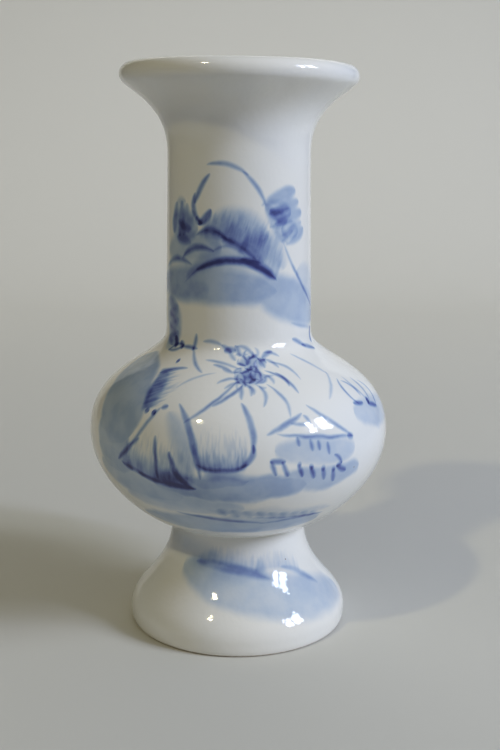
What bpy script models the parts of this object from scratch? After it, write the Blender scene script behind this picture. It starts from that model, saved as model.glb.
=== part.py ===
"""A miniature porcelain vase, one hollow piece of glazed porcelain, 100 mm tall.

The wall is one turned outline: a flared lip on a straight neck, a squashed round belly and a bell-shaped foot
that stands on a flat ring. The heights are stacked, so each stretch of the outline can be changed by itself.
The origin is at the centre of the foot ring's flat face, and +Z runs up the vase's axis.
"""

import math

import bpy
from mathutils import Vector

# Radii of the outside, in metres
RING_RADIUS = 0.0192
FOOT_RADIUS = 0.0200
WAIST_RADIUS = 0.0123
BELLY_RADIUS = 0.0269
SHOULDER_RADIUS = 0.0155
NECK_RADIUS_LOW = 0.01305
NECK_RADIUS_HIGH = 0.0126
RIM_RADIUS = 0.0207
LIP_ROUND = 0.0019  # radius of the lip's round edge

# Heights of the stretches, stacked from the table up
FOOT_EDGE_RISE = 0.0026
FOOT_BELL_RISE = 0.0165
BELLY_LOWER_RISE = 0.0172
BELLY_UPPER_RISE = 0.0144
SHOULDER_RISE = 0.0041
NECK_LENGTH = 0.0304
FLARE_RISE = 0.0148

# Walls
WALL = 0.0026
FLOOR = 0.0032  # from the recess under the foot up to the inside
FLOOR_ROUND = 0.0015  # how far the round corner between the floor and the wall reaches
RECESS_DEPTH = 0.0016
RING_WIDTH = 0.0030  # width of the flat ring that the vase stands on
RECESS_SLOPE = 0.0012  # how far the recess's side leans in

# Slopes of the outline, in degrees
UNDERSIDE_SLOPE = 11.0  # of the belly where it leaves the waist
SHOULDER_SLOPE = 37.0  # of the belly where it meets the shoulder's hollow
LIP_SLOPE = 41.0  # of the flare where it meets the lip

# Lengths of the Bezier handles, which set how full each curve is
FOOT_PULL = (0.0044, 0.0098)
BELLY_LOWER_PULL = (0.0047, 0.0092)
BELLY_UPPER_PULL = (0.0087, 0.0049)
SHOULDER_PULL = (0.0021, 0.0021)
FLARE_PULL = (0.0070, 0.0031)

# Facets
TURN_STEPS = 56
FOOT_POINTS = 6
FOOT_EDGE_POINTS = 4
BELLY_LOWER_POINTS = 9
BELLY_UPPER_POINTS = 7
SHOULDER_POINTS = 3
FLARE_POINTS = 6
LIP_POINTS = 8
CREASE_POINTS = 3
FLOOR_POINTS = 3
MERGE = 0.00001
SHARP_ANGLE = 40.0  # degrees between two faces, past which their edge is shaded sharp

PORCELAIN = (0.80, 0.80, 0.78, 1.0)
PORCELAIN_ROUGHNESS = 0.12


def clear_scene():
    for old in list(bpy.data.objects):
        bpy.data.objects.remove(old, do_unlink=True)


def direction(slope_degrees):
    """The unit direction (outwards, upwards) of a line that rises at this slope."""
    slope = math.radians(slope_degrees)
    return Vector((math.cos(slope), math.sin(slope)))


def bezier(start, start_handle, end_handle, end, count):
    """A cubic Bezier's points after its start, as (radius, height)."""
    points = []
    for step in range(1, count + 1):
        t = step / count
        s = 1 - t
        points.append(s**3 * start + 3 * s * s * t * start_handle + 3 * s * t * t * end_handle + t**3 * end)
    return points


def outside_stretches():
    """The outside from the foot's widest place up to the lip, as three lists of points.

    They are the foot's, the belly's and neck's, and the flare's.
    """
    up = Vector((0, 1))
    foot_side = Vector((FOOT_RADIUS, FOOT_EDGE_RISE))
    waist = Vector((WAIST_RADIUS, foot_side.y + FOOT_BELL_RISE))
    belly = Vector((BELLY_RADIUS, waist.y + BELLY_LOWER_RISE))
    shoulder = Vector((SHOULDER_RADIUS, belly.y + BELLY_UPPER_RISE))
    neck_low = Vector((NECK_RADIUS_LOW, shoulder.y + SHOULDER_RISE))
    neck_high = Vector((NECK_RADIUS_HIGH, neck_low.y + NECK_LENGTH))
    out_of_waist = direction(UNDERSIDE_SLOPE)
    into_shoulder = direction(180 - SHOULDER_SLOPE)
    into_lip = direction(LIP_SLOPE)
    lip_start = lip_centre(neck_high.y + FLARE_RISE) + LIP_ROUND * direction(LIP_SLOPE - 90)

    bell = [foot_side] + bezier(
        foot_side, foot_side + FOOT_PULL[0] * up, waist - FOOT_PULL[1] * up, waist, FOOT_POINTS
    )
    body = [waist] + bezier(
        waist,
        waist + BELLY_LOWER_PULL[0] * out_of_waist,
        belly - BELLY_LOWER_PULL[1] * up,
        belly,
        BELLY_LOWER_POINTS,
    )
    body += bezier(
        belly,
        belly + BELLY_UPPER_PULL[0] * up,
        shoulder - BELLY_UPPER_PULL[1] * into_shoulder,
        shoulder,
        BELLY_UPPER_POINTS,
    )
    body += bezier(
        shoulder,
        shoulder + SHOULDER_PULL[0] * into_shoulder,
        neck_low - SHOULDER_PULL[1] * up,
        neck_low,
        SHOULDER_POINTS,
    )
    body.append(neck_high)
    flare = [neck_high] + bezier(
        neck_high,
        neck_high + FLARE_PULL[0] * up,
        lip_start - FLARE_PULL[1] * into_lip,
        lip_start,
        FLARE_POINTS,
    )
    return bell, body, flare


def lip_centre(rim_height):
    """The centre of the lip's round edge, whose top is at rim_height."""
    return Vector((RIM_RADIUS - LIP_ROUND, rim_height - LIP_ROUND))


def inward(points, depths):
    """The points moved into the wall, square to the curve through them, each by its own depth."""
    moved = []
    for index, point in enumerate(points):
        before = points[max(index - 1, 0)]
        after = points[min(index + 1, len(points) - 1)]
        along = (after - before).normalized()
        moved.append(point + depths[index] * Vector((-along.y, along.x)))
    return moved


def above_floor(points, floor_height):
    """The line through the points, cut off at the floor, with a round corner where it meets the floor."""
    first_above = next(index for index, point in enumerate(points) if point.y > floor_height)
    below, above = points[first_above - 1], points[first_above]
    corner = below.lerp(above, (floor_height - below.y) / (above.y - below.y))
    up_the_wall = (points[first_above + 1] - corner).normalized()
    floor_edge = corner - Vector((FLOOR_ROUND, 0))
    wall_edge = corner + FLOOR_ROUND * up_the_wall
    rest = [point for point in points[first_above:] if point.y > wall_edge.y + FLOOR_ROUND / 2]
    return [floor_edge] + bezier(floor_edge, corner, corner, wall_edge, FLOOR_POINTS) + rest


def inside_wall(bell, body, flare, floor_height):
    """The inside, from the edge of the floor up to the lip, a wall's thickness in from the outside."""
    waist = body[0]
    crease = []
    for step in range(CREASE_POINTS + 1):
        crease.append(waist + WALL * direction(180 - (90 - UNDERSIDE_SLOPE) * step / CREASE_POINTS))

    # The wall thickens evenly from its own thickness at the neck to the lip's full width at the rim.
    depths = [WALL + (2 * LIP_ROUND - WALL) * step / FLARE_POINTS for step in range(FLARE_POINTS + 1)]

    foot = above_floor(inward(bell, [WALL] * len(bell))[:-1] + crease, floor_height)
    belly_and_neck = inward(body, [WALL] * len(body))
    return foot + belly_and_neck[1:-1] + inward(flare, depths)[:-1]


def lip(rim_height):
    """The lip's round edge, from the outside over the top to the inside."""
    centre = lip_centre(rim_height)
    points = []
    for step in range(LIP_POINTS + 1):
        points.append(centre + LIP_ROUND * direction(LIP_SLOPE - 90 + 180 * step / LIP_POINTS))
    return points


def underside(foot_side):
    """The foot's round edge, the flat ring that it stands on, and the shallow recess inside the ring."""
    corner = Vector((foot_side.x, 0))
    ring_inside = RING_RADIUS - RING_WIDTH
    points = bezier(foot_side, (foot_side + corner) / 2, corner, Vector((RING_RADIUS, 0)), FOOT_EDGE_POINTS)
    points.append(Vector((ring_inside, 0)))
    points.append(Vector((ring_inside - RECESS_SLOPE, RECESS_DEPTH)))
    points.append(Vector((0, RECESS_DEPTH)))
    return points


def vase_outline():
    """The turned outline, from the middle of the inside floor, up the inside, over the lip, down the outside
    and under the foot to the middle of the recess."""
    bell, body, flare = outside_stretches()
    floor_height = RECESS_DEPTH + FLOOR
    inside = [Vector((0, floor_height))] + inside_wall(bell, body, flare, floor_height)
    outside = bell[:-1] + body[:-1] + flare[:-1] + lip(flare[0].y + FLARE_RISE)
    return inside + outside[::-1] + underside(bell[0])


def porcelain():
    material = bpy.data.materials.new("porcelain")
    material.use_nodes = True
    shader = material.node_tree.nodes["Principled BSDF"]
    shader.inputs["Base Color"].default_value = PORCELAIN
    shader.inputs["Roughness"].default_value = PORCELAIN_ROUGHNESS
    shader.inputs["Metallic"].default_value = 0.0
    return material


def turned(name, outline, material):
    """An object whose outline is turned round the Z axis by a Screw modifier."""
    profile = bpy.data.meshes.new(name + "_outline")
    edges = [(index, index + 1) for index in range(len(outline) - 1)]
    profile.from_pydata([(point.x, 0, point.y) for point in outline], edges, [])
    profile.materials.append(material)
    item = bpy.data.objects.new(name, profile)
    bpy.context.scene.collection.objects.link(item)
    screw = item.modifiers.new("turn", "SCREW")
    screw.axis = "Z"
    screw.angle = math.tau
    screw.steps = TURN_STEPS
    screw.render_steps = TURN_STEPS
    screw.use_merge_vertices = True
    screw.merge_threshold = MERGE

    turned_mesh = bpy.data.meshes.new_from_object(item.evaluated_get(bpy.context.evaluated_depsgraph_get()))
    turned_mesh.name = name
    turned_mesh.shade_smooth()
    turned_mesh.set_sharp_from_angle(angle=math.radians(SHARP_ANGLE))
    item.modifiers.clear()
    item.data = turned_mesh
    bpy.context.scene.collection.objects.unlink(item)
    bpy.data.meshes.remove(profile)
    return item


def main():
    clear_scene()
    collection = bpy.data.collections.new("porcelain vase")
    bpy.context.scene.collection.children.link(collection)
    collection.objects.link(turned("vase", vase_outline(), porcelain()))


main()
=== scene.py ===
# Miniature porcelain vase: the turned wall, its glaze and the landscape brushed on it in blue
import math
import bpy
import numpy as np
from mathutils import Matrix, Vector


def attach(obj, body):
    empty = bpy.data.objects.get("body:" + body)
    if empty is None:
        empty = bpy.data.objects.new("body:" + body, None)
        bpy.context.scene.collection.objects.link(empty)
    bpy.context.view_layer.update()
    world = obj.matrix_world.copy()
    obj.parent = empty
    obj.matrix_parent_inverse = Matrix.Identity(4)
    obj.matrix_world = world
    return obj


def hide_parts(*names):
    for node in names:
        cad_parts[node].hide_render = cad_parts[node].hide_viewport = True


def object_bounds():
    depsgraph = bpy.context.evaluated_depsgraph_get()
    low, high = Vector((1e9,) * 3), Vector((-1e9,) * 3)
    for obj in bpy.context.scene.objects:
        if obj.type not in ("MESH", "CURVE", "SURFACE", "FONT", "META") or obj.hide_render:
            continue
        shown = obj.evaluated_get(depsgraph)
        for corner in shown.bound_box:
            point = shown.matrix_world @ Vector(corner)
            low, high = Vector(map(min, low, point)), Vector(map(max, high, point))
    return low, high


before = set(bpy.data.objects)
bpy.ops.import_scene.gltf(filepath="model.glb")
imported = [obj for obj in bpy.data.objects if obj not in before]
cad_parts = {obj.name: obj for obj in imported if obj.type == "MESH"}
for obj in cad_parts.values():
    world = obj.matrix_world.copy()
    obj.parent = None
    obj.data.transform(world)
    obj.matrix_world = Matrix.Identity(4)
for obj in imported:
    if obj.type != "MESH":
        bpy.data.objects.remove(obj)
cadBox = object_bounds()
mm = 0.001
print("frame loaded, solid is", [round((high - low) / mm, 1) for low, high in zip(*cadBox)], "mm")

vaseWall = {  # millimetres and degrees, heights stacked from the table up
    "bellyRadius": cadBox[1].x / mm,
    "fullHeight": cadBox[1].z / mm,
    "ringRadius": 19.2, "footRadius": 20.0, "waistRadius": 12.3, "shoulderRadius": 15.5,
    "neckRadiusLow": 13.05, "neckRadiusHigh": 12.6, "rimRadius": 20.7, "lipRound": 1.9,
    "footEdge": 2.6, "footBell": 16.5, "bellyLower": 17.2, "bellyUpper": 14.4, "shoulder": 4.1, "neck": 30.4,
    "undersideSlope": 11, "shoulderSlope": 37, "lipSlope": 41,
    "footPull": (4.4, 9.8), "bellyLowerPull": (4.7, 9.2), "bellyUpperPull": (8.7, 4.9),
    "shoulderPull": (2.1, 2.1), "neckPull": (8.0, 8.0), "flarePull": (7.0, 3.1),
    "creaseFill": 0.5,  # how far the glaze runs out of the crease at the waist
    "wall": 2.6, "floorHeight": 4.8, "floorRound": 1.5,
    "recess": 1.6, "ringWidth": 3.0, "recessLean": 1.2,
    "columns": 288,
    "sharpAngle": 38,
}
pointsOf = {  # how many points each stretch of the outline has
    "footEdge": 10, "foot": 30, "crease": 7, "bellyLower": 38, "bellyUpper": 30, "shoulder": 12, "neck": 22,
    "flare": 26, "lip": 18, "insideWaist": 7, "floorRound": 6, "floor": 4, "recess": 4, "ring": 4,
}
unevenness = {  # millimetres that a hand-finished vase is off true, always to the inside of the solid
    "oval": 0.12, "threeSided": 0.07, "rimTilt": 0.30, "rimLumps": 0.12,
    "rimStarts": 86.0, "rimFull": 98.0,
    "ovalTurn": 0.7, "lumpTurn": 2.2, "lumpTurnTwo": 0.5,  # radians that each wave starts round the vase
    "spiral": 22,  # millimetres of height in which the three-sided wave turns by a radian
}


def bezier(start, startPull, endPull, end, count):
    # cubic Bezier, each point the four corners weighted by the Bernstein polynomials; the start is left out
    t = np.linspace(0, 1, count + 1)[1:, None]
    s = 1 - t
    return s ** 3 * start + 3 * s ** 2 * t * startPull + 3 * s * t ** 2 * endPull + t ** 3 * end


def heading(slope):
    # unit vector (outwards, upwards) at a slope in degrees
    return np.array([math.cos(math.radians(slope)), math.sin(math.radians(slope))])


def outsideLine(w):
    # Bezier stretches joined end to end, each leaving in the direction in which the one before arrives
    up = np.array([0.0, 1.0])
    footSide = np.array([w["footRadius"], w["footEdge"]])
    waist = np.array([w["waistRadius"], footSide[1] + w["footBell"]])
    belly = np.array([w["bellyRadius"], waist[1] + w["bellyLower"]])
    shoulder = np.array([w["shoulderRadius"], belly[1] + w["bellyUpper"]])
    neckLow = np.array([w["neckRadiusLow"], shoulder[1] + w["shoulder"]])
    neckHigh = np.array([w["neckRadiusHigh"], neckLow[1] + w["neck"]])
    lipCentre = np.array([w["rimRadius"] - w["lipRound"], w["fullHeight"] - w["lipRound"]])
    lipStart = lipCentre + w["lipRound"] * heading(w["lipSlope"] - 90)
    out, into, over = heading(w["undersideSlope"]), heading(180 - w["shoulderSlope"]), heading(w["lipSlope"])
    ringEdge, corner = np.array([w["ringRadius"], 0.0]), np.array([w["footRadius"], 0.0])

    def stretch(name, start, leaving, end, arriving):
        # a Bezier whose handles have the lengths in the dictionary and lie along the two directions
        first, second = w[name + "Pull"]
        return bezier(start, start + first * leaving, end - second * arriving, end, pointsOf[name])

    edge = bezier(ringEdge, corner, (footSide + corner) / 2, footSide, pointsOf["footEdge"])
    bell = stretch("foot", footSide, up, waist, up)
    lower = stretch("bellyLower", waist, out, belly, up)
    upper = stretch("bellyUpper", belly, up, shoulder, into)
    hollow = stretch("shoulder", shoulder, into, neckLow, up)
    neck = stretch("neck", neckLow, up, neckHigh, up)
    flare = stretch("flare", neckHigh, up, lipStart, over)
    turn = w["lipSlope"] - 90 + 180 * np.linspace(0, 1, pointsOf["lip"] + 1)[1:]
    lip = lipCentre + w["lipRound"] * np.stack([np.cos(np.radians(turn)), np.sin(np.radians(turn))], 1)

    # the crease's corner is cut back on both sides and bridged, as glaze fills it
    gap = w["creaseFill"]
    bell = bell[bell[:, 1] < waist[1] - gap]
    lower = lower[np.hypot(*(lower - waist).T) > gap]
    crease = bezier(waist - gap * up, waist, waist, waist + gap * out, pointsOf["crease"])
    crease = np.vstack([waist - gap * up, crease])
    body = np.vstack([lower, upper, hollow, neck])
    return edge, bell, crease, body, flare, lip


def inwards(line, depth):
    # every point + depth x the line's unit direction turned a quarter to the left
    along = np.gradient(line, axis=0)
    along /= np.linalg.norm(along, axis=1)[:, None]
    return line + np.asarray(depth).reshape(-1, 1) * np.stack([-along[:, 1], along[:, 0]], 1)


def insideLine(w, bell, crease, body, flare):
    # the outside set in by the wall, which thickens up the flare to the lip's width, with every second point
    # left out; it is cut off at the floor, and the corner there is a Bezier that reaches as far along both
    waist = crease[0] + np.array([0, w["creaseFill"]])
    turn = np.radians(np.linspace(180, 90 + w["undersideSlope"], pointsOf["insideWaist"]))
    nose = waist + w["wall"] * np.stack([np.cos(turn), np.sin(turn)], 1)
    thick = np.linspace(w["wall"], 2 * w["lipRound"], len(flare))
    wall = np.vstack([inwards(bell, w["wall"])[:-1:2], nose, inwards(body, w["wall"])[2::2],
                      inwards(flare, thick)[2:-1:2]])
    first = np.argmax(wall[:, 1] > w["floorHeight"])
    share = (w["floorHeight"] - wall[first - 1, 1]) / (wall[first, 1] - wall[first - 1, 1])
    corner = wall[first - 1] + share * (wall[first] - wall[first - 1])
    rise = wall[first + 2] - corner
    reach = w["floorRound"]
    floorEdge, wallEdge = corner - [reach, 0], corner + reach * rise / np.linalg.norm(rise)
    roundCorner = bezier(floorEdge, corner, corner, wallEdge, pointsOf["floorRound"])
    above = wall[first:]
    above = above[above[:, 1] > wallEdge[1] + reach / 4]
    count = pointsOf["floor"]
    flat = np.stack([np.linspace(0, floorEdge[0], count + 1)[1:], np.full(count, w["floorHeight"])], 1)
    return np.vstack([flat, roundCorner, above])


def undersideLine(w):
    # the recess from its middle out, its leaning side, and the flat ring
    inner = w["ringRadius"] - w["ringWidth"]
    flat = np.linspace(0, inner - w["recessLean"], pointsOf["recess"] + 1)[1:]
    ring = np.linspace(inner, w["ringRadius"], pointsOf["ring"])
    return np.vstack([np.stack([flat, np.full(len(flat), w["recess"])], 1),
                      np.stack([ring, np.zeros(len(ring))], 1)])


def offTrue(radius, height, angle, u):
    # radius less an oval and a three-sided wave, each from 0 to its depth, but for points on the axis; height
    # less a tilt and lumps, which come in near the rim by the square of the share of the way up
    turning = radius > 1
    radius = radius - u["oval"] * (1 - np.cos(2 * angle - u["ovalTurn"])) / 2 * turning
    radius = radius - u["threeSided"] * (1 - np.cos(3 * angle + height / u["spiral"])) / 2 * turning
    rim = np.clip((height - u["rimStarts"]) / (u["rimFull"] - u["rimStarts"]), 0, 1) ** 2
    tilt = u["rimTilt"] * (1 + np.sin(angle)) / 2
    waves = np.sin(3 * angle + u["lumpTurn"]) * np.cos(2 * angle - u["lumpTurnTwo"])
    lumps = u["rimLumps"] * (1 + waves) / 2
    return radius, height - rim * (tilt + lumps)


edge, bell, crease, body, flare, lip = outsideLine(vaseWall)
under = undersideLine(vaseWall)
inside = insideLine(vaseWall, bell, crease, body, flare)[::-1]
outside = np.vstack([edge, bell, crease, body, flare, lip])
turnedLine = np.vstack([under, outside, inside])
rowOfLip = len(under) + len(outside) - len(lip)

# the painting's own grid: the angle round from the front, and the length up the wall over the radius, summed
# up, so that a brush stroke keeps its shape wherever it lies
wallLine = np.vstack([under[-1:], outside])
upTheWall = np.concatenate([[0], np.cumsum(np.hypot(*np.diff(wallLine, axis=0).T)
                                           / ((wallLine[1:, 0] + wallLine[:-1, 0]) / 2))])
lastRising = int(np.argmax(wallLine[:, 1]))
print("outline:", len(turnedLine), "rings,", len(turnedLine) * vaseWall["columns"] * 2, "triangles")


def readOff(height, values):
    # the value at a height in millimetres, in straight steps between the outline's points
    return float(np.interp(height, wallLine[:lastRising, 1], values[:lastRising]))


# brushwork: each stroke goes from (degrees, height) to (degrees, height); bow is how far its middle swings to
# the left of its way, in millimetres as are width and the soft edge; load is how much blue it carries, taper
# how far its width grows towards the end, and full how blunt the ends are, from 1, pointed, to 0, square
def stroke(way, bow, width, load, taper=0.0, soft=0.75, full=0.32, kind="line"):
    return {"from": way[:2], "to": way[2:], "bow": bow, "width": width, "load": load, "taper": taper,
            "soft": soft, "full": full, "kind": kind}


def lines(*rows):
    # rows of x0, z0, x1, z1, bow, width, load
    return [stroke(row[:4], *row[4:]) for row in rows]


def dabs(*rows, soft=1.1):
    # soft petals, rows as for lines, some with a taper
    return [stroke(row[:4], *row[4:], soft=soft, full=0.35, kind="dab") for row in rows]


def washes(*rows, soft=1.5):
    # broad pale areas, which don't darken each other, rows as for lines
    return [stroke(row[:4], *row[4:], soft=soft, full=0.3, kind="wash") for row in rows]


def comb(way, bow, reach, load, lean=0.0, hairs=1.8, hold=0.0):
    # a dry brush pulled away from a base line; hairs is how many show to a millimetre, lean how far they fall
    # back along that line for each millimetre that they rise, and hold the share of the reach without a fade
    made = stroke(way, bow, reach, load, soft=0.5, kind="comb")
    made["hairs"], made["lean"], made["hold"] = hairs, lean, hold
    return made


def mountain():
    # a peak with a tree at each side, a dark ridge at its foot and a mist below, on the neck
    found = lines(
        (-25, 83.1, 8, 81.4, 0.9, 0.7, 0.7), (3, 82.1, 21, 76.4, 0.5, 0.65, 0.65),
        (-22, 81.7, -35.5, 76.6, -0.3, 0.8, 0.9), (-35, 78.6, -29, 73.4, -0.9, 0.85, 0.9),
        (-32, 73.2, -21, 75.9, -0.3, 1.2, 1.15), (-34, 74.6, -28, 73.4, -0.2, 1.1, 0.5),
        (-13, 71.4, 14, 67.6, 0.3, 0.7, 0.55), (-20, 68.8, 6, 68, 1.4, 0.5, 0.35),
        (36, 70.4, 80, 58.4, -1.1, 0.45, 0.7), (44, 56.6, 82, 54.7, -0.2, 0.5, 0.3))
    found += washes(
        (-86, 62.7, 32, 62.2, 0.9, 6.4, 0.54), (12, 63.7, 86, 57.2, -0.3, 7.4, 0.42),
        (50, 65.6, 84, 60.4, 0, 5.4, 0.2), soft=2.2)
    found += dabs(  # the ridge, its bloom, and the haze that the mountain's shading stands in
        (-46, 63.2, 31, 64, 3.8, 0.9, 0.7, 0.35), (-34, 65.6, 18, 67, 1.2, 1.2, 0.75),
        (2, 67.8, 30, 64.2, 0.3, 1.4, 0.75), (-12, 70.8, 20, 67, 0.5, 1.8, 0.3))
    # more haze; the first row, a faint wash over the mist's left end, is painted shade on the side turned
    # from the light
    found += dabs(
        (-84, 62.6, -22, 62.4, 0.5, 5.2, 0.16), (-44, 64.2, 28, 65, 3.4, 2.6, 0.4),
        (-70, 68.6, -12, 69.6, 0.4, 5.2, 0.46), (22, 72.4, 37, 65.8, 0, 3.4, 0.22),
        (-64, 73.6, -32, 72.4, 0, 5.4, 0.4), soft=2.2)
    found += dabs(
        (-34, 71.5, -8, 70.8, 1.3, 1, 0.85), (-48, 67.4, -18, 68.9, 1.3, 1, 0.85),
        (-74, 65.4, -37, 66.5, 1.3, 0.9, 0.8))
    found += dabs((-27, 72.4, 24, 71.4, 0.8, 6, 0.5), (0, 70.4, 24, 67.6, 0.4, 2.6, 0.2), soft=3.0)
    found += dabs(  # the tree on the right, its shaded heart, and the tree on the left
        (17, 76.4, 49, 79, 0.3, 2, 0.48, 0.3), (23, 75, 53, 77.1, 0.2, 1.7, 0.46, 0.3),
        (28, 73.4, 57, 75.3, 0.2, 1.8, 0.48, 0.3), (34, 71.4, 57, 73.6, 0.1, 1.4, 0.42, 0.3),
        (38, 69.8, 60, 72.6, -0.2, 1.6, 0.55, 0.3), (20, 76.3, 44, 75, 0, 3.2, 0.28),
        (34, 72.8, 52, 71.8, 0, 3, 0.26), (24, 75.8, 40, 73.6, 0, 2, 0.42),
        (21, 76.8, 40, 70, -0.2, 2, 0.34), (27, 74.9, 42, 76, 0, 0.8, 0.4),
        (24, 73, 46, 73.8, 0, 0.7, 0.4), (34, 70.4, 46, 72.2, 0, 0.7, 0.4),
        (-56, 76.9, -60, 71.4, 0, 1.6, 0.65), (-49, 77.1, -52, 71, 0.2, 1.6, 0.6),
        (-43, 76.8, -47, 71.2, 0.2, 1.5, 0.5), (-37, 75.8, -42, 71.6, 0.2, 1.2, 0.4),
        (-57, 76.6, -44, 76.9, 0.3, 1.2, 0.35), (-54, 73.8, -38, 72.4, -0.2, 1.3, 0.5),
        (-56, 70.9, -38, 70, 0.3, 1.5, 0.4))
    found += [comb((-32, 71.2, 8, 68.6), 0.8, 6.6, 0.34, hairs=1.4, hold=0.35),
              comb((-2, 68.8, 31, 64.2), 0.7, 8.6, 0.36, lean=0.18, hairs=1.3, hold=0.25),
              comb((-14, 70.4, 22, 67), 0.4, 7.6, 0.2, lean=0.05, hairs=2.2, hold=0.3)]
    return found


def bushes():
    # dark leaves down the left of the neck's foot, and a few twigs round the shoulder
    found = washes((-66, 61.2, -58, 52.2, 0.3, 5, 0.5))
    for step in range(7):
        side = 1 if step % 2 else -1
        found += dabs(
            (-60 + 8 * side, 60.4 - 1.1 * step, -61 - 6 * side, 58.4 - 1.1 * step, 0.3 * side, 1.8, 0.36))
    found += lines(
        (-57, 51.4, -43, 52.8, 0.7, 0.5, 1), (-43, 52.9, -58, 51.6, 0.6, 0.5, 1),
        (-56, 54, -51, 52, 0.2, 1, 1), (-48, 53.4, -44, 52, 0.2, 0.85, 1),
        (-45, 52.5, -30, 52.4, 0.1, 0.6, 0.95), (-32.5, 55, -34, 52, 0, 0.55, 0.9),
        (-34, 52.6, -19, 49.2, -0.4, 0.5, 0.8), (-41, 50.4, -38.5, 50.4, 0, 1, 1.2),
        (45, 53.8, 59, 52.2, 0.1, 0.75, 0.7), (54, 52.6, 69, 51.5, 0.1, 0.9, 0.85),
        (76, 55.4, 71, 52.4, 0.1, 0.85, 1))
    return found


plantCurls = {  # places and sizes in degrees round and millimetres up, turns in radians
    "count": 30, "clumps": ((6.5, 49), (9, 50.8)), "clumpSize": (7.6, 1.2), "innermost": 0.2, "turn": 2.4,
    "facing": 1.9, "facingSwing": 0.8, "curlSize": (3, 0.75), "bow": 0.6, "width": 0.34, "load": 0.7,
}
plantRays = {  # places and sizes in degrees round and millimetres up, turns in degrees, the slant in radians
    "count": 9, "middle": (8, 49.8), "inner": (6.5, 2.2), "outer": (10.5, 3.2), "firstTurn": 10, "turn": 40,
    "slant": 0.3, "uneven": 0.15, "bow": 0.5, "width": 0.42, "load": 0.45,
}


def spikyPlant():
    # a heart of short curls laid over each other in two clumps, with bent rays all round it
    found = dabs((-2, 48.9, 15, 48.9, 0, 3.4, 0.5), (1, 50.8, 18, 50.8, 0, 3, 0.45),
                 (3, 48.9, 10, 48.9, 0, 1.4, 0.5), soft=1.8)
    curl = plantCurls
    for step in range(curl["count"]):
        # the clumps take turns, and the curls go out by the square root of their number, to lie evenly
        turn = curl["turn"] * step
        reach = curl["innermost"] + (1 - curl["innermost"]) * math.sqrt((step + 0.5) / curl["count"])
        clumpX, clumpZ = curl["clumps"][step % 2]
        x = clumpX + curl["clumpSize"][0] * reach * math.cos(turn)
        z = clumpZ + curl["clumpSize"][1] * reach * math.sin(turn)
        facing = turn + curl["facing"] + curl["facingSwing"] * math.sin(3.1 * step)
        halfX, halfZ = curl["curlSize"][0] * math.cos(facing), curl["curlSize"][1] * math.sin(facing)
        found += lines((x - halfX, z - halfZ, x + halfX, z + halfZ,
                        curl["bow"] * math.cos(1.3 * step), curl["width"], curl["load"]))
    ray = plantRays
    x, z = ray["middle"]
    for step in range(ray["count"]):
        # evenly round an oval, each leaning a little further round as it goes out
        turn = math.radians(ray["turn"] * step + ray["firstTurn"])
        reach = 1.0 + ray["uneven"] * math.sin(2.6 * step)
        leaning = turn + ray["slant"]
        found += lines((x + ray["inner"][0] * math.cos(turn), z + ray["inner"][1] * math.sin(turn),
                        x + ray["outer"][0] * reach * math.cos(leaning),
                        z + ray["outer"][1] * reach * math.sin(leaning),
                        ray["bow"] * math.cos(3 * step), ray["width"], ray["load"]))
    found += lines(  # above and on the right
        (-27, 53.6, -11, 53.1, 0.4, 0.55, 0.65), (-12, 53.3, -4, 52.2, 0, 0.65, 0.7),
        (-10, 52.4, -1, 52.5, 0.1, 1, 0.7), (-2, 53.3, 2, 51.6, 0.1, 0.75, 0.7),
        (-1, 53.1, 11, 51.7, 0.6, 0.6, 0.65), (16, 51.3, 25, 52.3, 0.2, 0.8, 0.75),
        (18, 52.1, 29, 51.4, 0.4, 0.5, 0.6), (16, 51.2, 25, 49.9, 0.5, 0.5, 0.6),
        (19, 50.8, 33, 48.1, 1.4, 0.45, 0.62), (15, 49.7, 28, 46.4, 1, 0.6, 0.75),
        (21, 49.4, 25, 47.4, 0.5, 0.5, 0.65), (14, 49.2, 18, 47.9, 0.5, 0.5, 0.6),
        (14, 48, 20.5, 43.2, 1, 0.5, 0.68), (9, 47.9, 11, 44.9, 0.9, 0.5, 0.65))
    found += lines(  # below and on the left
        (6, 47.9, 6, 46.4, 0.2, 0.5, 0.6), (3, 48, 2, 45.9, -0.2, 0.55, 0.65),
        (3, 47.9, -10, 45, 0.3, 0.6, 0.9), (0, 48.3, -20, 42.4, 0.5, 0.5, 0.9),
        (1, 48.6, -10, 48, -0.6, 0.5, 0.75), (2, 48.3, -6, 47.3, -0.3, 0.5, 0.6),
        (-11, 49.4, -29, 47, -0.7, 0.36, 0.45), (-3, 49.6, -15, 50.5, -0.2, 0.55, 0.8),
        (1, 49.9, -21, 51, -0.5, 0.5, 0.62), (1, 49.5, -9, 50, 0.4, 0.5, 0.62),
        (-1, 51, -6, 52.3, 0, 0.6, 0.6), (38, 51.7, 53.5, 48, 0.5, 0.42, 0.5),
        (53.5, 48.6, 41, 45, 0.4, 0.42, 0.5))
    return found


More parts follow.
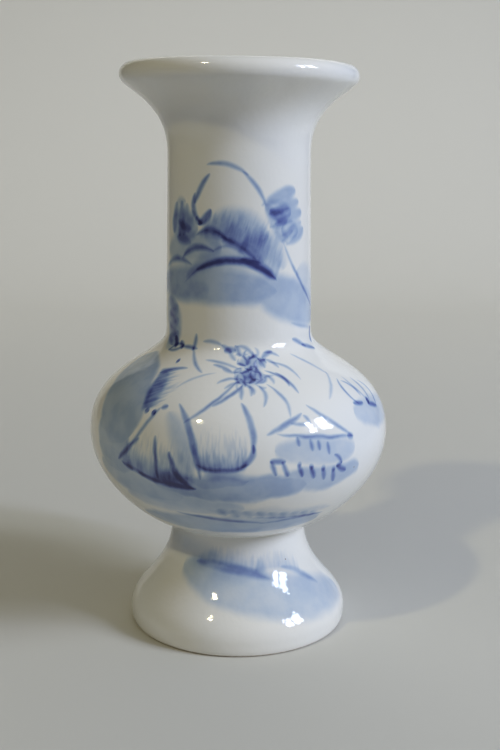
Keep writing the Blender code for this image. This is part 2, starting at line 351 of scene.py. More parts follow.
def bank():
    # the left of the belly: a broad wash, a tree pulled out to the right, and the slope down to the water
    found = washes(
        (-77, 50.4, -44.5, 38, 1, 12.6, 0.5), (-56, 44, -50, 32.6, 0.3, 10, 0.44),
        (-62, 36.6, -40, 33.4, 0, 4, 0.5))
    found += lines(
        (-45, 48.5, -29, 49.7, 0.4, 0.75, 0.75), (-38, 43.6, -36, 43.4, 0, 1, 1.1),
        (-34.5, 43.6, -32.5, 43.3, 0, 1.1, 1.2), (-31, 44.2, -28, 44.7, 0, 0.7, 0.8),
        (-31, 44.4, -41, 37.6, 0.1, 0.6, 0.85), (-37, 39.4, -48, 34.8, 0.1, 0.75, 0.9),
        (-30, 40.2, -29, 33, 0, 0.7, 1.1), (-24, 38, -15, 31.8, -0.9, 1, 0.95),
        (-46, 34.8, -27, 32.3, -0.3, 0.8, 0.75), (-38, 33.3, -14, 31.9, -0.3, 1.1, 0.75),
        (-28, 32.5, -14, 31.9, -0.1, 0.7, 0.4))
    found += dabs((-41, 48.9, -37, 43.8, 0, 3, 0.36))
    found += [comb((-46, 49.2, -39, 43), 0.1, 6.6, 0.75, lean=0.25, hairs=1.5, hold=0.15),
              comb((-46, 34.4, -15, 32.4), -0.4, 9, 0.52), comb((-44, 33.8, -16, 32.4), -0.3, 3.6, 0.24),
              comb((-34, 33, -14, 32.2), -0.2, 7, 0.18)]
    found += dabs((-27, 44, -16, 33.8, 1, 3.2, 0.34), (-44, 36, -18, 33.4, -0.4, 3, 0.2), soft=2.2)
    return found


def sails():
    # two tall curved sides and a round bottom, with dry-brush shading that rises from it
    found = lines(
        (-24, 45.2, -12.5, 33.6, 1.1, 1.05, 0.85), (2, 45.6, 6.2, 38.2, 0.6, 0.95, 0.75),
        (6.3, 39.8, 2.2, 35.9, 0.6, 0.95, 0.68), (-14, 36.3, 5, 36.6, -1.2, 0.7, 0.58))
    found += [comb((-16, 36, 5, 36.2), -1.1, 9, 0.46), comb((-15, 35.8, 4, 36), -0.9, 4.4, 0.36)]
    return found + dabs((-13, 35.9, 4, 36.2, -1, 2.6, 0.26), soft=2.2)


def pavilion():
    # eaves, a roof with an open ridge and thin posts, a gate and a fence by the water
    found = lines(
        (10.5, 41, 25.5, 43.9, -0.3, 0.8, 0.75), (14, 41, 46.5, 39.1, 0, 0.55, 0.7),
        (43.5, 39.3, 46.5, 39.1, 0, 0.8, 0.6), (20, 42.4, 28, 42.1, 0, 0.5, 0.6),
        (25.5, 43.6, 28, 42.1, 0.2, 0.5, 0.6), (28.5, 44.9, 46, 39.1, -0.2, 0.7, 0.65),
        (11.5, 36.8, 17.5, 36.7, 0, 0.85, 0.8), (12, 36.9, 14, 34.3, 0, 0.65, 0.8),
        (16, 36.8, 18.5, 34, 0, 0.65, 0.8), (36.5, 36.7, 40.5, 35, 0.3, 0.6, 0.75),
        (40.5, 35.2, 37.5, 34.6, 0, 0.6, 0.75), (37.5, 34.8, 43, 33.4, 0, 0.75, 0.8))
    for turn, top, foot in ((22, 40.4, 38.8), (27, 40, 37.9), (30, 39.6, 37.8), (34, 39.2, 36.8)):
        found += lines((turn, top, turn + 0.4, foot, 0, 0.55, 0.55))
    for step in range(4):
        turn, top = 22 + 4.7 * step, 35.9 - 0.55 * step
        found += lines(
            (turn, top + 0.1, turn + 1.6, top - 2.2, 0, 0.7, 0.8),
            (turn - 0.8, top, turn + 1.2, top - 0.1, 0, 0.85, 0.6))
    found += washes((13, 38.7, 47, 37.3, 0, 4.2, 0.28), (16, 33.7, 51, 33.9, -0.7, 4.8, 0.4))
    return found


def reeds():
    # the right of the belly: leaning leaves over a pale pool
    found = lines(
        (56, 47.5, 57, 43.4, -1.2, 0.5, 0.75), (57, 47.1, 62, 44.2, 0.7, 0.45, 0.7),
        (61, 47.5, 65, 43.4, -0.2, 0.4, 0.6), (67, 47, 66.5, 43, 0.7, 0.45, 0.75),
        (71, 46.4, 71, 42, 1.5, 0.45, 0.75), (53, 43.8, 60.5, 43.4, 0, 0.85, 0.8),
        (63.5, 43, 72, 42, 0, 0.9, 0.85), (64, 43.6, 66, 43.2, 0, 1.1, 1.2))
    return found + washes((51, 42.2, 88, 40.8, 0, 5.4, 0.28))


def water():
    # the shore below the sails and, under the belly, a far bank with a row of tufts
    found = washes(
        (-32, 32.6, 26, 32.3, -0.3, 5.2, 0.52), (-20, 34, 6, 34, -0.9, 2.6, 0.7),
        (-62, 33.4, -20, 30.2, -0.9, 5.4, 0.34), (-48, 24.4, 42, 24, -0.3, 6, 0.42),
        (-50, 28.9, 4, 28.3, 0, 4.6, 0.26), (-8, 27.8, 44, 26.2, 0.2, 2, 0.2))
    found += lines(
        (-26, 26.6, 13, 24.7, 0.2, 0.75, 0.6), (10, 24.6, 42, 25.3, 0.4, 0.6, 0.5),
        (4, 26.2, 42, 25.2, 0, 0.45, 0.4))
    for step in range(9):
        found += dabs(
            (-7 + 5 * step, 28.3 - 0.25 * step, -4 + 5 * step, 26.6 - 0.2 * step, 0.1, 1.3, 0.34), soft=1.6)
    return found + dabs((-12, 28, 40, 25.4, -0.4, 1, 0.2), (-54, 30.2, 8, 29.6, 0, 4.2, 0.14), soft=2.0)


def islet():
    # on the foot: a long pale wash with two darker strokes along its top and short hairs above them
    return (washes((-46, 13.2, 86, 6.4, -0.4, 8, 0.31), soft=2.2)
            + dabs((-84, 17.4, -14, 15.6, 0, 3.6, 0.16), (-42, 14, 14, 12.6, 0.4, 3.4, 0.16), soft=3.0)
            + dabs((-34, 14.2, 25, 11.6, 0.9, 1.7, 0.4), (-8, 14, 22, 12, 0.3, 0.9, 0.25),
                   (35, 13.2, 65, 8.6, 0.8, 1, 0.42))
            + [comb((-34, 14.2, 24, 12.2), 0.9, 4.4, 0.36, hairs=1.4),
               comb((12, 13, 54, 11.4), 0.9, 4.6, 0.3, hairs=1.4)])


def farSide():
    # the back, plainer: a low hill on the neck, a long shore with reeds on the belly, a wash on the foot
    found = lines(
        (146, 68.6, 212, 68, 3, 0.9, 0.95), (174, 75.2, 188, 75.4, -0.7, 0.45, 0.7),
        (188, 75.4, 200, 76.2, -0.6, 0.45, 0.7), (128, 35.4, 196, 35, 0.7, 0.9, 0.9),
        (200, 34.6, 232, 34.4, 0.4, 0.65, 0.7), (150, 26.2, 214, 26, 0.3, 0.6, 0.6))
    found += washes(
        (134, 66, 214, 65, 0.4, 4.6, 0.42), (160, 64.2, 232, 62.6, 0.4, 4, 0.34),
        (122, 33.2, 236, 32.8, -0.5, 4.8, 0.42), (140, 24.6, 224, 24.4, 0, 4.8, 0.3),
        (138, 12.4, 206, 10.6, 0.3, 5.2, 0.34), (166, 9.8, 234, 8.2, -0.3, 4.8, 0.28))
    found += dabs((142, 13.8, 188, 12.8, 0.7, 1.2, 0.4), (190, 12.4, 214, 10.8, 0.5, 0.9, 0.35))
    found += [comb((148, 68.4, 210, 68), 2.6, 7, 0.5), comb((128, 35.4, 196, 35.2), 0.6, 7, 0.5)]
    for step in range(7):
        found += lines((206 + 3 * step, 34.6, 203 + 3.8 * step, 39.6 + 1.4 * math.sin(2 * step),
                        0.5 * math.cos(2 * step), 0.5, 0.7))
    return found


painting = (mountain() + bushes() + spikyPlant() + bank() + sails() + pavilion() + reeds() + water() + islet()
            + farSide())
print("painting:", len(painting), "brush strokes")


def onGrid(brushed):
    # half = half the way from end to end on the painting's grid; axis = half over its length squared + lean x
    # side over its length; side = unit vector a quarter turn to the left of it
    (x0, z0), (x1, z1) = brushed["from"], brushed["to"]
    ends = np.array([[math.radians(x0), readOff(z0, upTheWall)],
                     [math.radians(x1), readOff(z1, upTheWall)]])
    half = (ends[1] - ends[0]) / 2
    length = float(np.hypot(*half))
    side = np.array([-half[1], half[0]]) / length
    axis = half / length ** 2 + brushed.get("lean", 0) * side / length
    return {"middle": ends.mean(0), "axis": axis, "side": side, "length": length,
            "radius": readOff((z0 + z1) / 2, wallLine[:, 0])}


def turned(brushed, degrees):
    # the same stroke a full turn further round, for one that crosses the seam at the back
    made = dict(brushed)
    made["from"] = (brushed["from"][0] + degrees, brushed["from"][1])
    made["to"] = (brushed["to"][0] + degrees, brushed["to"][1])
    return made


farthest = 120  # degrees round, past which a stroke may cross the seam
painting += [turned(brushed, -360) for brushed in painting
             if max(brushed["from"][0], brushed["to"][0]) > farthest]


def addNode(tree, kind, **settings):
    # a node with these settings
    made = tree.nodes.new(kind)
    for name, value in settings.items():
        setattr(made, name, value)
    return made


def feed(tree, socket, value):
    # links another node's output to the socket, or sets a constant
    if isinstance(value, bpy.types.NodeSocket):
        tree.links.new(value, socket)
    else:
        socket.default_value = value


def sums(tree, operation, *values, clamp=False):
    # a calculation with numbers
    made = addNode(tree, "ShaderNodeMath", operation=operation, use_clamp=clamp)
    for socket, value in zip(made.inputs, values):
        feed(tree, socket, value)
    return made.outputs[0]


def vectors(tree, operation, *values):
    # a calculation with vectors
    made = addNode(tree, "ShaderNodeVectorMath", operation=operation)
    for socket, value in zip(made.inputs, values):
        feed(tree, socket, value)
    return made.outputs["Value" if operation == "DOT_PRODUCT" else "Vector"]


def ramped(tree, value, fromLow, fromHigh, toLow=0.0, toHigh=1.0):
    # smoothstep from toLow, where the value is at fromLow, to toHigh
    made = addNode(tree, "ShaderNodeMapRange", interpolation_type="SMOOTHSTEP")
    for socket, amount in zip(made.inputs[1:5], (fromLow, fromHigh, toLow, toHigh)):
        feed(tree, socket, amount)
    feed(tree, made.inputs[0], value)
    return made.outputs[0]


def noiseOf(tree, place, scale, detail=2.0, flat="3D"):
    # smooth noise, so many lumps to a unit of length
    made = addNode(tree, "ShaderNodeTexNoise", noise_dimensions=flat)
    made.inputs["Scale"].default_value = scale
    made.inputs["Detail"].default_value = detail
    feed(tree, made.inputs["Vector"], place)
    return made.outputs


def mixed(tree, share, first, second, blend="MIX"):
    # first x (1 - share) + second x share, or, multiplied, first x second
    made = addNode(tree, "ShaderNodeMix", data_type="RGBA", blend_type=blend)
    for number, value in ((0, share), (6, first), (7, second)):
        feed(tree, made.inputs[number], value)
    return made.outputs[2]


def bumped(tree, height, rise, below=None):
    # the normal tilted by the slope of a height of so many millimetres, on top of the bump below it
    made = addNode(tree, "ShaderNodeBump")
    made.inputs["Distance"].default_value = rise * mm
    feed(tree, made.inputs["Height"], height)
    if below:
        tree.links.new(below, made.inputs["Normal"])
    return made.outputs[0]


def strokeGroup(name, numberNames):
    # a group that takes a place, two numbers on the painting's grid and the ink so far as the third, and
    # gives the same place with its own ink added; it begins with along = offset dot axis, body = 1 - along
    # squared, not under 0, and across = offset dot side - body x bow, where offset = place - middle
    tree = bpy.data.node_groups.new(name, "ShaderNodeTree")
    for socketName in ("place", "middle", "axis", "side"):
        tree.interface.new_socket(socketName, in_out="INPUT", socket_type="NodeSocketVector")
    for socketName in numberNames:
        tree.interface.new_socket(socketName, in_out="INPUT", socket_type="NodeSocketFloat")
    tree.interface.new_socket("place", in_out="OUTPUT", socket_type="NodeSocketVector")
    given = addNode(tree, "NodeGroupInput").outputs
    offset = vectors(tree, "SUBTRACT", given["place"], given["middle"])
    along = vectors(tree, "DOT_PRODUCT", offset, given["axis"])
    beside = vectors(tree, "DOT_PRODUCT", offset, given["side"])
    body = sums(tree, "SUBTRACT", 1.0, sums(tree, "MULTIPLY", along, along), clamp=True)
    across = sums(tree, "SUBTRACT", beside, sums(tree, "MULTIPLY", body, given["bow"]))
    return tree, given, along, body, across


inkOnly = (0, 0, 1)
offTheGrid = (-50, -50, 0)  # less than every place on the painting's grid


def giveInk(tree, given, ink, over=False):
    # the ink added to what is there, or, for a wash, the greater of the two
    if over:
        alone = vectors(tree, "MULTIPLY_ADD", ink, inkOnly, offTheGrid)
        onward = vectors(tree, "MAXIMUM", alone, given["place"])
    else:
        onward = vectors(tree, "MULTIPLY_ADD", ink, inkOnly, given["place"])
    tree.links.new(onward, addNode(tree, "NodeGroupOutput").inputs["place"])
    return tree


def brushGroup(name, over):
    # half width = width x body to the power full x (1 + taper x along), with along from -1 to 1 between the
    # ends; ink = load x smoothstep of (half width - distance across) over the soft edge
    tree, given, along, body, across = strokeGroup(name, ("bow", "width", "taper", "full", "soft", "load"))
    lean = sums(tree, "MULTIPLY_ADD", along, given["taper"], 1.0)
    half = sums(tree, "MULTIPLY", sums(tree, "POWER", body, given["full"]), lean)
    half = sums(tree, "MULTIPLY", half, given["width"])
    depth = sums(tree, "SUBTRACT", half, sums(tree, "ABSOLUTE", across))
    return giveInk(tree, given, ramped(tree, depth, 0.0, given["soft"], 0.0, given["load"]), over)


dryBrush = {
    "noiseLow": 0.26, "noiseHigh": 0.74,  # of the noise that is read across the hairs
    "stretch": 5,  # how much longer than wide the noise's lumps are
    "shortest": 0.72, "palest": 0.7,  # of a hair, as shares of the longest and the darkest
    "endPower": 0.25,  # how blunt the comb is at its ends
    "endFade": 0.3,  # the body over which the ink comes in at the ends
}


def combGroup():
    # as the brush, but the ink fades from the base line out to the ends of the hairs: hair = smoothstep of
    # noise; reach = width x body to the power endPower x (shortest + (1 - shortest) x hair); ink = load x
    # smooth fade of across over reach x (palest + (1 - palest) x hair), cut off below the base line
    names = ("bow", "width", "hairs", "spread", "hold", "load", "soft")
    tree, given, along, body, across = strokeGroup("dryBrush", names)
    shortest, palest = dryBrush["shortest"], dryBrush["palest"]
    spot = addNode(tree, "ShaderNodeCombineXYZ")
    feed(tree, spot.inputs[0], sums(tree, "MULTIPLY", along, given["hairs"]))
    feed(tree, spot.inputs[1], sums(tree, "MULTIPLY", across, given["spread"]))
    noise = noiseOf(tree, spot.outputs[0], 1.0, 1.0, "2D")[0]
    hair = ramped(tree, noise, dryBrush["noiseLow"], dryBrush["noiseHigh"])
    reach = sums(tree, "MULTIPLY", sums(tree, "POWER", body, dryBrush["endPower"]), given["width"])
    reach = sums(tree, "MULTIPLY", reach, sums(tree, "MULTIPLY_ADD", hair, 1 - shortest, shortest))
    far = sums(tree, "DIVIDE", across, sums(tree, "MAXIMUM", reach, 0.0001))
    fade = ramped(tree, far, given["hold"], 1.0, 1.0, 0.0)
    cut = ramped(tree, across, sums(tree, "MULTIPLY", given["soft"], -1.0), given["soft"])
    ends = ramped(tree, body, 0.0, dryBrush["endFade"], 0.0, given["load"])
    ink = sums(tree, "MULTIPLY", sums(tree, "MULTIPLY", fade, cut), ends)
    ink = sums(tree, "MULTIPLY", ink, sums(tree, "MULTIPLY_ADD", hair, 1 - palest, palest))
    return giveInk(tree, given, ink)


glaze = {  # lengths in millimetres; a period is from one lump of the noise to the next
    "white": (0.83, 0.83, 0.80, 1), "warmWhite": (0.85, 0.83, 0.77, 1),
    "tonePeriod": 28, "toneSpan": (0.35, 0.65),
    "roughness": 0.07, "ior": 1.5,
    "wobble": (3.5, 0.28), "washWobble": (5.0, 0.9),  # the period, and how far the hand strays along a stroke
    "meanRadius": 20,  # of the wall, which turns that into lengths on the painting's grid
    "mottlePeriod": 3.4, "mottleDetail": 4.0, "mottleSpan": (0.3, 0.7),
    "mottle": {"line": (0.78, 1.16), "dab": (0.8, 1.15), "wash": (0.84, 1.14)},  # least and most of the ink
    "ripples": ((7.0, 0.04), (1.0, 0.025)),  # the period, and how high the glaze rises
    "speck": (0.22, 0.13, 0.08, 1), "speckPeriod": 8, "speckRare": 0.62,
    "speckSpan": (0.012, 0.022), "speckDark": 0.8,
    "fullLoad": 2.4,
    # what each load of blue leaves of the light, from bare glaze to the darkest stroke
    "blues": ((0.0, (1, 1, 1)), (0.35, (0.58, 0.69, 0.87)), (0.55, (0.42, 0.54, 0.78)),
              (0.8, (0.27, 0.37, 0.67)), (1.15, (0.14, 0.19, 0.50)), (1.6, (0.06, 0.07, 0.25)),
              (2.4, (0.025, 0.025, 0.11))),
}
biscuitAndShade = {  # the bare ring, unglazed, sandy and dull; carried up the foot's edge, its brown is also painted shade where the vase meets the table
    "dark": (0.50, 0.42, 0.33, 1), "pale": (0.66, 0.60, 0.52, 1), "roughness": 0.7,
    "period": 0.4, "span": (0.35, 0.65), "rise": 0.03,
}
brushes = {
    "line": brushGroup("brushStroke", False), "wash": brushGroup("washStroke", True), "comb": combGroup(),
}
brushes["dab"] = brushes["line"]


def strokeNode(tree, brushed, place):
    # the stroke's own node, with its lengths divided by the wall's radius there, as on the painting's grid
    at = onGrid(brushed)
    made = addNode(tree, "ShaderNodeGroup", node_tree=brushes[brushed["kind"]])
    tree.links.new(place, made.inputs["place"])
    for name in ("middle", "axis", "side"):
        made.inputs[name].default_value = (*at[name], 0)
    radius = at["radius"]
    values = {"bow": brushed["bow"] / radius, "soft": brushed["soft"] / radius, "load": brushed["load"]}
    if brushed["kind"] == "comb":
        values["width"], values["hold"] = brushed["width"] / radius, brushed["hold"]
        values["hairs"] = brushed["hairs"] * at["length"] * radius
        values["spread"] = brushed["hairs"] * radius / dryBrush["stretch"]
    else:
        values["width"] = (brushed["width"] + brushed["soft"]) / 2 / radius
        values["taper"], values["full"] = brushed["taper"], brushed["full"]
    for name, value in values.items():
        made.inputs[name].default_value = value
    return made.outputs["place"]


def strayed(tree, place, objectPlace, period, reach):
    # place + (noise - a half) x twice the reach over the wall's mean radius
    noise = noiseOf(tree, objectPlace, 1 / (period * mm))["Color"]
    centred = vectors(tree, "SUBTRACT", noise, (0.5, 0.5, 0.5))
    scale = 2 * reach / glaze["meanRadius"]
    return vectors(tree, "ADD", place, vectors(tree, "MULTIPLY", centred, (scale, scale, 0)))


def inkOf(tree, strokes, objectPlace):
    # lines, then dabs and combs, then washes, each in a chain of their own; the ink is the sum of the chains'
    # inks, each multiplied by its mottle
    place = addNode(tree, "ShaderNodeUVMap", uv_map="paint").outputs[0]
    steady = strayed(tree, place, objectPlace, *glaze["wobble"])
    loose = strayed(tree, place, objectPlace, *glaze["washWobble"])
    mottle = noiseOf(tree, objectPlace, 1 / (glaze["mottlePeriod"] * mm), glaze["mottleDetail"])[0]
    total = None
    for kinds, where in ((("line",), steady), (("dab", "comb"), steady), (("wash",), loose)):
        layer = [brushed for brushed in strokes if brushed["kind"] in kinds]
        if not layer:
            continue
        for brushed in layer:
            where = strokeNode(tree, brushed, where)
        parts = addNode(tree, "ShaderNodeSeparateXYZ")
        feed(tree, parts.inputs[0], where)
        uneven = ramped(tree, mottle, *glaze["mottleSpan"], *glaze["mottle"][kinds[0]])
        ink = sums(tree, "MULTIPLY", parts.outputs[2], uneven)
        total = sums(tree, "ADD", total, ink) if total else ink
    return total


def blueOf(tree, ink):
    # the share of the light that the ink leaves, in straight steps between the loads in the dictionary
    blues = addNode(tree, "ShaderNodeValToRGB")
    feed(tree, blues.inputs[0], sums(tree, "DIVIDE", ink, glaze["fullLoad"]))
    steps = blues.color_ramp.elements
    while len(steps) < len(glaze["blues"]):
        steps.new(0.5)
    for step, (load, left) in zip(steps, glaze["blues"]):
        step.position = load / glaze["fullLoad"]
        step.color = (*left, 1)
    return blues.outputs[0]


def newFinish(name, roughness):
    # a material with its node tree and its shader
    material = bpy.data.materials.new(name)
    material.use_nodes = True
    shader = material.node_tree.nodes["Principled BSDF"]
    shader.inputs["Roughness"].default_value = roughness
    return material, material.node_tree, shader


def glazeMaterial(name, strokes):
    # colour = white glaze x what the ink leaves, with a dark speck at the middle of a few of the cells of a
    # Voronoi pattern; the surface is tilted by a slow ripple and a fine one
    material, tree, shader = newFinish(name, glaze["roughness"])
    shader.inputs["IOR"].default_value = glaze["ior"]
    objectPlace = addNode(tree, "ShaderNodeTexCoord").outputs["Object"]
    tone = ramped(tree, noiseOf(tree, objectPlace, 1 / (glaze["tonePeriod"] * mm))[0], *glaze["toneSpan"])
    colour = mixed(tree, tone, glaze["white"], glaze["warmWhite"])
    if strokes:
        colour = mixed(tree, 1.0, colour, blueOf(tree, inkOf(tree, strokes, objectPlace)), "MULTIPLY")

    specks = addNode(tree, "ShaderNodeTexVoronoi")
    specks.inputs["Scale"].default_value = 1 / (glaze["speckPeriod"] * mm)
    feed(tree, specks.inputs["Vector"], objectPlace)
    rare = sums(tree, "GREATER_THAN", specks.outputs["Color"], glaze["speckRare"])
    near = ramped(tree, specks.outputs["Distance"], *glaze["speckSpan"], glaze["speckDark"], 0.0)
    colour = mixed(tree, sums(tree, "MULTIPLY", rare, near), colour, glaze["speck"])
    tree.links.new(colour, shader.inputs["Base Color"])

    normal = None
    for period, rise in glaze["ripples"]:
        normal = bumped(tree, noiseOf(tree, objectPlace, 1 / (period * mm), 1.0)[0], rise, normal)
    tree.links.new(normal, shader.inputs["Normal"])
    return material


def bareRingAndContactShade():
    # two tones of bare clay mixed by a fine noise, which is also the grain's height; on the foot's lowest
    # edge its brown also paints the shade where the vase meets the table
    material, tree, shader = newFinish("bareRingAndContactShade", biscuitAndShade["roughness"])
    objectPlace = addNode(tree, "ShaderNodeTexCoord").outputs["Object"]
    grain = noiseOf(tree, objectPlace, 1 / (biscuitAndShade["period"] * mm))[0]
    tones = mixed(tree, ramped(tree, grain, *biscuitAndShade["span"]), biscuitAndShade["dark"], biscuitAndShade["pale"])
    tree.links.new(tones, shader.inputs["Base Color"])
    tree.links.new(bumped(tree, grain, biscuitAndShade["rise"]), shader.inputs["Normal"])
    return material


# the painted wall in fields, so that each finish holds only the strokes that reach it: rows up the wall, in
# millimetres, each cut at these degrees, with one more field round the back
fieldRows = {
    "foot": {"low": -1, "high": 19.3, "cuts": (-98, 98)},
    "bellyLow": {"low": 19.3, "high": 31, "cuts": (-98, -20, 20, 98)},
    "bellyMiddle": {"low": 31, "high": 42, "cuts": (-98, -38, -14, 8, 32, 98)},
    "bellyHigh": {"low": 42, "high": 54.5, "cuts": (-98, -24, 4, 30, 98)},
    "neckLow": {"low": 54.5, "high": 68, "cuts": (-98, -12, 30, 98)},
    "neckHigh": {"low": 68, "high": 87, "cuts": (-98, -20, 18, 98)},
}
patches = []
for rowName, row in fieldRows.items():
    ends = row["cuts"][1:] + (row["cuts"][0] + 360,)
    for number, (start, end) in enumerate(zip(row["cuts"], ends)):
        patches.append({**row, "name": rowName + "ABCDEF"[number], "start": start, "end": end})


spare = 1.6  # millimetres for a stroke's soft edge and its wobble
widthShare = {"line": 0.6, "dab": 0.6, "wash": 0.6, "comb": 1.0}  # of the width, to either side


def reaches(brushed, patch):
    # whether the stroke's box, grown by its bow, its width and the spare, meets the field
    (x0, z0), (x1, z1) = brushed["from"], brushed["to"]
    grow = brushed["width"] * widthShare[brushed["kind"]] + abs(brushed["bow"]) + spare
    if max(z0, z1) + grow < patch["low"] or min(z0, z1) - grow > patch["high"]:
        return False
    turn = math.degrees(grow / readOff((z0 + z1) / 2, wallLine[:, 0]))
    low, high = min(x0, x1) - turn, max(x0, x1) + turn
    return any(low < patch["end"] + whole and high > patch["start"] + whole for whole in (-360, 0))


def putIn(name, data):
    # a new object in the scene
    made = bpy.data.objects.new(name, data)
    bpy.context.scene.collection.objects.link(made)
    return made


bakeMap = {  # the flat layout of the whole surface, from 0 to 1
    "bottom": 0.03, "rise": 0.94, "side": 0.004, "end": 0.005,
    "hiddenWeight": 0.4,  # of the underside and the inside, where the outside's is 1
}
bareAndShadeRows = 2  # of the foot's edge, above the flat ring, in bare clay whose dark line is partly painted shade at the contact with the table


def turnedVase(w):
    # each ring is one outline point carried round: x = radius sin angle, y = -radius cos angle, z = height;
    # 0 degrees is the front, the seam is at the back, and the end rings close on a middle point
    columns = w["columns"]
    angle = np.linspace(-math.pi, math.pi, columns + 1)
    ring = angle[:-1]
    radius, height = offTrue(turnedLine[:, :1] + 0 * ring, turnedLine[:, 1:] + 0 * ring, ring, unevenness)
    places = np.stack([radius * np.sin(ring), -radius * np.cos(ring), height], 2).reshape(-1, 3)
    ends = np.array([[0, 0, turnedLine[0, 1]], [0, 0, turnedLine[-1, 1]]])
    places = np.vstack([places, ends]) * mm

    rings = len(turnedLine)
    row, column = np.meshgrid(np.arange(rings - 1), np.arange(columns), indexing="ij")
    here, after = row * columns + column, row * columns + (column + 1) % columns
    quads = np.stack([here, after, after + columns, here + columns], 2).reshape(-1, 4)
    one = np.arange(columns)
    two = (one + 1) % columns
    last = (rings - 1) * columns
    lowFan = np.stack([np.full(columns, rings * columns), two, one], 1)
    highFan = np.stack([last + one, last + two, np.full(columns, rings * columns + 1)], 1)

    mesh = bpy.data.meshes.new("paintedVase")
    mesh.from_pydata(places.tolist(), [], quads.tolist() + lowFan.tolist() + highFan.tolist())

    # the painting's map, and the flat layout: length along the outline x its weight, as a share of the whole
    rowNumber = np.arange(rings - 1)
    grid = np.interp(np.arange(rings), np.arange(len(under) - 1, len(under) + len(outside)), upTheWall)
    steps = np.hypot(*np.diff(turnedLine, axis=0).T)
    seen = (rowNumber >= len(under)) & (rowNumber <= rowOfLip + len(lip))
    spread = np.concatenate([[0], np.cumsum(steps * np.where(seen, 1, bakeMap["hiddenWeight"]))])
    spread = bakeMap["bottom"] + bakeMap["rise"] * spread / spread[-1]
    share = np.linspace(bakeMap["side"], 1 - bakeMap["side"], columns + 1)

    def corners(across, up, lowEnd, highEnd):
        # (across, up) at every face's corners, the quads first, then the fans, whose tips lie halfway across
        left, right, low, high = across[column], across[column + 1], up[row], up[row + 1]
        found = [np.stack([left, low, right, low, right, high, left, high], 2)]
        left, right, same = across[:-1], across[1:], np.ones(columns)
        middle, low, high = (left + right) / 2, up[0] * same, up[-1] * same
        found.append(np.stack([middle, lowEnd * same, right, low, left, low], 1))
        found.append(np.stack([left, high, right, high, middle, highEnd * same], 1))
        return np.concatenate([part.reshape(-1, 2) for part in found])

    for name, values in (("paint", corners(angle, grid, grid[0], grid[-1])),
                         ("OFBake", corners(share, spread, bakeMap["end"], 1 - bakeMap["end"]))):
        layer = mesh.uv_layers.new(name=name, do_init=False)
        layer.uv.foreach_set("vector", values.astype(np.float32).ravel())

    # which finish each face wears
    middle = (turnedLine[1:, 1] + turnedLine[:-1, 1]) / 2
    degrees = np.degrees((angle[1:] + angle[:-1]) / 2)
    wears = np.zeros((rings - 1, columns), int)
    painted = (rowNumber >= len(under)) & (rowNumber < rowOfLip)
    for number, patch in enumerate(patches):
        rows = painted & (middle >= patch["low"]) & (middle < patch["high"])
        inField = (degrees > patch["start"]) & (degrees < patch["end"]) | (degrees < patch["end"] - 360)
        wears[np.ix_(rows, inField)] = number + 1
    # the flat ring and the foot's lowest rows wear the bare, unglazed clay, and its dark line at the base is
    # also painted contact shade
    onBareRingAndShadeLine = (rowNumber >= len(under) - pointsOf["ring"]) & (rowNumber < len(under) + bareAndShadeRows)
    wears[onBareRingAndShadeLine] = len(patches) + 1
    wears = np.concatenate([wears.ravel(), np.zeros(2 * columns, int)])

    mesh.materials.append(glazeMaterial("plainGlaze", []))
    for patch in patches:
        strokes = [brushed for brushed in painting if reaches(brushed, patch)]
        mesh.materials.append(glazeMaterial(patch["name"], strokes))
        print("  field", patch["name"], "holds", len(strokes), "strokes")
    mesh.materials.append(bareRingAndContactShade())
    mesh.polygons.foreach_set("material_index", wears.astype(np.int32))
    mesh.shade_smooth()
    mesh.set_sharp_from_angle(angle=math.radians(w["sharpAngle"]))
    mesh.update()
    return putIn("paintedVase", mesh)


vase = turnedVase(vaseWall)
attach(vase, "root")
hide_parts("vase")
print("vase made:", len(vase.data.polygons), "faces")

studio = {  # metres, degrees round from the front (right is positive) and above the horizon
    "aim": (0, 0, 0.045),
    "sky": (0.95, 0.98, 1.0, 1), "skyLow": 0.01, "skyHigh": 0.34, "skyRound": 55, "skyAbove": 62,
    "skySpan": (0.45, 1.0), "horizon": 0.10, "horizonSpan": (0.1, 0.35),
    "floor": (0.62, 0.61, 0.56, 1), "floorRoughness": 0.9, "floorGloss": 0.1,
    "floorDepth": 0.60, "floorFront": 0.2, "floorSide": 0.38,
    "sweep": 0.20, "sweepPoints": 25, "wallHeight": 0.75,
}
panels = [  # flat lights; glow is the brightness of their face, which faces the vase or a point of its own
    {"name": "paneNear", "round": 62, "above": 28, "away": 0.8, "wide": 0.075, "tall": 0.22,
     "glow": (34, 37.5, 50)},
    {"name": "paneFar", "round": 74, "above": 28, "away": 0.8, "wide": 0.13, "tall": 0.24,
     "glow": (19, 21, 24)},
    {"name": "backdrop", "round": 180, "above": 70, "away": 0.75, "wide": 1.0, "tall": 0.3,
     "glow": (3.6, 3.6, 3.6), "facing": (0, 0.73, 0.6)},
]
lamp = {"round": -38, "above": 47, "away": 0.8, "radius": 0.02, "glow": (270, 240, 140)}


def towards(turn, above):
    # unit vector at so many degrees round from the front and above the horizon
    turn, above = math.radians(turn), math.radians(above)
    return (math.cos(above) * math.sin(turn), -math.cos(above) * math.cos(turn), math.sin(above))


def addLight(name, kind, light, area):
    # energy is the glow times pi times the face's area, with the brightest channel as the energy's own
    data = bpy.data.lights.new(name, kind)
    strength = max(light["glow"])
    data.energy = strength * math.pi * area
    data.color = [glow / strength for glow in light["glow"]]
    made = putIn(name, data)
    made.location = Vector(studio["aim"]) + light["away"] * Vector(towards(light["round"], light["above"]))
    made.rotation_mode = "QUATERNION"
    away = Vector(made.location) - Vector(light.get("facing", studio["aim"]))
    made.rotation_quaternion = away.to_track_quat("Z", "Y")
    return data


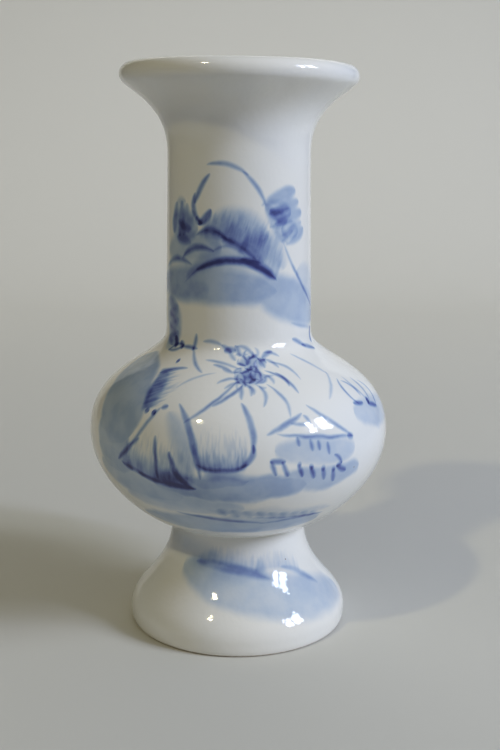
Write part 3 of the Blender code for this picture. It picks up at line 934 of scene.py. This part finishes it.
def lightStudio():
    for panel in panels:
        data = addLight(panel["name"], "AREA", panel, panel["wide"] * panel["tall"])
        data.shape, data.size, data.size_y = "RECTANGLE", panel["wide"], panel["tall"]
    data = addLight("warmLamp", "POINT", lamp, 4 * math.pi * lamp["radius"] ** 2)
    data.shadow_soft_size = lamp["radius"]
    # the sky brightens smoothly towards one direction and towards the horizon: strength = smoothstep of the
    # direction's cosine to it + smoothstep of the direction's height
    world = bpy.data.worlds.new("studioSky")
    world.use_nodes = True
    tree = world.node_tree
    brightest = towards(studio["skyRound"], studio["skyAbove"])
    facing = addNode(tree, "ShaderNodeTexCoord").outputs["Generated"]
    closeness = vectors(tree, "DOT_PRODUCT", facing, brightest)
    upwards = vectors(tree, "DOT_PRODUCT", facing, (0, 0, 1))
    dome = ramped(tree, closeness, *studio["skySpan"], studio["skyLow"], studio["skyHigh"])
    strength = sums(tree, "ADD", dome, ramped(tree, upwards, *studio["horizonSpan"], studio["horizon"], 0.0))
    tree.nodes["Background"].inputs["Color"].default_value = studio["sky"]
    tree.links.new(strength, tree.nodes["Background"].inputs["Strength"])
    bpy.context.scene.world = world


def makeFloor():
    # a flat floor that curves up into a wall: the profile runs back, round a quarter circle and up
    depth, sweep, side = studio["floorDepth"], studio["sweep"], studio["floorSide"]
    turn = np.linspace(0, math.pi / 2, studio["sweepPoints"])
    alongY = np.concatenate([[-studio["floorFront"]], depth - sweep + sweep * np.sin(turn), [depth]])
    alongZ = np.concatenate([[0], sweep - sweep * np.cos(turn), [studio["wallHeight"]]])
    count = len(alongY)
    places = np.concatenate([np.stack([np.full(count, x), alongY, alongZ], 1) for x in (-side, side)])
    step = np.arange(count - 1)
    faces = np.stack([step, step + count, step + count + 1, step + 1], 1)
    mesh = bpy.data.meshes.new("paleFloor")
    mesh.from_pydata(places.tolist(), [], faces.tolist())
    mesh.shade_smooth()
    material, tree, shader = newFinish("paleFloor", studio["floorRoughness"])
    shader.inputs["Base Color"].default_value = studio["floor"]
    shader.inputs["Specular IOR Level"].default_value = studio["floorGloss"]
    mesh.materials.append(material)
    floor = putIn("paleFloor", mesh)


lens = {  # millimetres and degrees; the long side of the picture is as long as the sensor
    "focal": 53.0, "sensor": 36.0, "across": 2.1, "back": 195.8, "height": 85.4, "tilt": 11.5, "roll": 0.35,
    "nearest": 10, "farthest": 20000,
}


def placeCamera():
    # turned up from straight down to the tilt below the horizon, after the roll about its own line of sight
    data = bpy.data.cameras.new("camera")
    data.lens, data.sensor_width, data.sensor_fit = lens["focal"], lens["sensor"], "AUTO"
    data.clip_start, data.clip_end = lens["nearest"] * mm, lens["farthest"] * mm
    camera = putIn("camera", data)
    camera.location = (lens["across"] * mm, -lens["back"] * mm, lens["height"] * mm)
    down = Matrix.Rotation(math.radians(90 - lens["tilt"]), 3, "X")
    camera.rotation_euler = (down @ Matrix.Rotation(math.radians(lens["roll"]), 3, "Z")).to_euler()
    bpy.context.scene.camera = camera


lightStudio()
makeFloor()
placeCamera()
bpy.context.scene.view_settings.view_transform = "Standard"
print("studio lit, camera placed")
